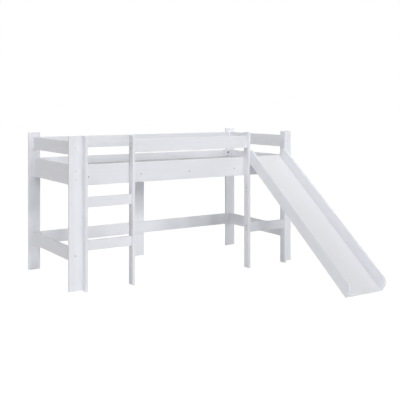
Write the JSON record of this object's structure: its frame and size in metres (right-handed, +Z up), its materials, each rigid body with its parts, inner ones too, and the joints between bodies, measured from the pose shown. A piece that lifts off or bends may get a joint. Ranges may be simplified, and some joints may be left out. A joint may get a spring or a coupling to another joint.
{
  "type": "loft bed with slide",
  "caption": "Half-high white wooden loft bed with a fixed ladder at one end of its front, a straight slide at the other end, and guard boards all round.",
  "frame": {"origin": "on the floor under the middle of the whole bed, slide included", "axes": "+X along the bed towards the slide's side, +Y from the slide's foot to the bed's back, +Z up"},
  "size_m": [1.922, 2.0297, 1.06],
  "materials": {
    "white_board": "satin white lacquer on 18 mm board",
    "slide_lacquer": "smooth semi-gloss white lacquer",
    "primed_slat": "matt grey-white primer on planed slats",
    "black_steel": "blackened screws",
    "zinc_steel": "dull zinc plated",
    "dark_zinc": "dark zinc die casting",
    "beech": "raw beech",
    "white_plastic": "matte white"
  },
  "bodies": {
    "root": {"back_centre_leg": "white_board", "back_guard_board": "white_board", "back_left_post": "white_board", "back_lower_rail": "white_board", "back_main_board": "white_board", "back_right_post": "white_board", "back_slat_batten": "white_board", "barrel_nuts": "zinc_steel", "batten_screws": "black_steel", "bed_slat_01": "primed_slat", "bed_slat_02": "primed_slat", "bed_slat_03": "primed_slat", "bed_slat_04": "primed_slat", "bed_slat_05": "primed_slat", "bed_slat_06": "primed_slat", "bed_slat_07": "primed_slat", "bed_slat_08": "primed_slat", "bed_slat_09": "primed_slat", "bed_slat_10": "primed_slat", "bed_slat_11": "primed_slat", "bed_slat_12": "primed_slat", "bed_slat_13": "primed_slat", "bed_slat_14": "primed_slat", "bed_slat_15": "primed_slat", "bed_slat_16": "primed_slat", "bolt_caps": "white_plastic", "cam_bolts": "zinc_steel", "cam_fittings": "dark_zinc", "dowels": "beech", "end_board_bolts": "zinc_steel", "front_guard_board": "white_board", "front_left_post": "white_board", "front_main_board": "white_board", "front_right_post": "white_board", "front_slat_batten": "white_board", "guard_bolts": "zinc_steel", "ladder_left_stile": "white_board", "ladder_lower_rung": "white_board", "ladder_right_stile": "white_board", "ladder_upper_rung": "white_board", "left_lower_rail": "white_board", "left_main_board": "white_board", "left_upper_rail": "white_board", "leg_screws": "black_steel", "right_lower_rail": "white_board", "right_main_board": "white_board", "right_upper_rail": "white_board", "rung_bolts": "zinc_steel", "slat_screws": "black_steel", "slide_bed_panel": "slide_lacquer", "slide_bed_screws": "black_steel", "slide_bolts": "zinc_steel", "slide_cross_rail": "white_board", "slide_left_cheek": "white_board", "slide_left_stile": "white_board", "slide_right_cheek": "white_board", "slide_right_stile": "white_board", "slide_sleeve_nuts": "zinc_steel", "stile_screws": "black_steel"}
  },
  "joints": []
}
